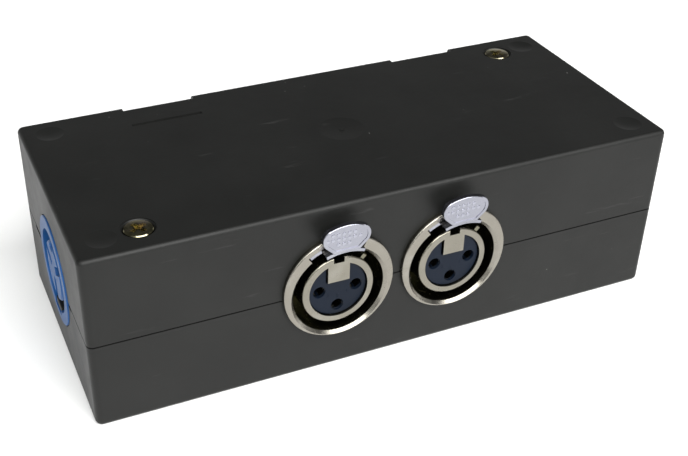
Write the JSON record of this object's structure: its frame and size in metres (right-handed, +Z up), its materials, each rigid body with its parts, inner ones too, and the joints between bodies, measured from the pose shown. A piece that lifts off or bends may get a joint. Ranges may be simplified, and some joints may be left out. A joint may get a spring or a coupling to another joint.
{
  "type": "direct injection box",
  "caption": "Flat black plastic direct injection box with latching XLR input sockets in front, XLR outputs behind and a blue twist-lock mains inlet on the left end.",
  "frame": {"origin": "centre of the case's underside", "axes": "+X along the case away from the mains inlet, +Y from the input sockets to the back, +Z up"},
  "size_m": [0.1283, 0.0601, 0.0393],
  "materials": {
    "case_plastic": "black moulded plastic with a fine satin grain",
    "yellow_zinc": "yellow passivated zinc plate",
    "brass": "turned brass",
    "blue_plastic": "blue moulded plastic",
    "contact_metal": "silver plated contacts",
    "board_laminate": "green solder mask",
    "bright_steel": "bright zinc plate",
    "module_resin": "potted module",
    "fuse_glass": "glass tube",
    "green_plastic": "green terminal plastic",
    "brown_insulation": "brown wire insulation",
    "blue_insulation": "blue wire insulation",
    "green_insulation": "green and yellow wire insulation",
    "capacitor_sleeve": "capacitor sleeve",
    "chip_epoxy": "moulded epoxy",
    "satin_nickel": "satin nickel plated die casting",
    "tab_nickel": "satin nickel plated pressing",
    "dark_insert": "dark slate blue plastic",
    "lamination_steel": "silicon steel laminations",
    "winding_tape": "yellow winding tape"
  },
  "bodies": {
    "case": {"upper_case": "case_plastic", "lower_case": "case_plastic", "case_screws": "yellow_zinc", "screw_inserts": "brass", "mains_inlet_housing": "blue_plastic", "mains_inlet_core": "blue_plastic", "mains_inlet_contacts": "contact_metal", "mains_inlet_latch": "case_plastic", "circuit_board": "board_laminate", "board_screws": "bright_steel", "power_module": "module_resin", "fuse": "fuse_glass", "fuse_clips": "bright_steel", "terminal_block": "green_plastic", "line_wire": "brown_insulation", "neutral_wire": "blue_insulation", "earth_wire": "green_insulation", "smoothing_capacitors": "capacitor_sleeve", "preamp_chip": "chip_epoxy", "board_resistors": "chip_epoxy", "input_1_housing": "satin_nickel", "input_1_insert": "dark_insert", "input_1_contacts": "contact_metal", "input_1_ground_contact": "satin_nickel", "input_1_latch_spring": "bright_steel", "output_1_housing": "satin_nickel", "output_1_insert": "dark_insert", "output_1_pins": "contact_metal", "transformer_1_core": "lamination_steel", "transformer_1_winding": "winding_tape", "input_2_housing": "satin_nickel", "input_2_insert": "dark_insert", "input_2_contacts": "contact_metal", "input_2_ground_contact": "satin_nickel", "input_2_latch_spring": "bright_steel", "output_2_housing": "satin_nickel", "output_2_insert": "dark_insert", "output_2_pins": "contact_metal", "transformer_2_core": "lamination_steel", "transformer_2_winding": "winding_tape"},
    "tab_1": {"input_1_push_tab": "tab_nickel"},
    "hook_1": {"input_1_latch_hook": "bright_steel"},
    "tab_2": {"input_2_push_tab": "tab_nickel"},
    "hook_2": {"input_2_latch_hook": "bright_steel"}
  },
  "joints": [
    {"name": "tab_1_press", "type": "slide", "parent": "case", "child": "tab_1", "axis": [0, 1, 0], "range_m": [0, 0.0014], "stiffness_N_per_m": 900, "springref_m": -0.001},
    {"name": "hook_1_lift", "type": "slide", "parent": "case", "child": "hook_1", "axis": [0, 0, 1], "range_m": [0, 0.0014], "deforming": ["input_1_latch_spring"]},
    {"name": "tab_2_press", "type": "slide", "parent": "case", "child": "tab_2", "axis": [0, 1, 0], "range_m": [0, 0.0014], "stiffness_N_per_m": 900, "springref_m": -0.001},
    {"name": "hook_2_lift", "type": "slide", "parent": "case", "child": "hook_2", "axis": [0, 0, 1], "range_m": [0, 0.0014], "deforming": ["input_2_latch_spring"]}
  ],
  "couplings": [
    {"joint": "hook_1_lift", "follows": "tab_1_press", "ratio": 1},
    {"joint": "hook_2_lift", "follows": "tab_2_press", "ratio": 1}
  ]
}
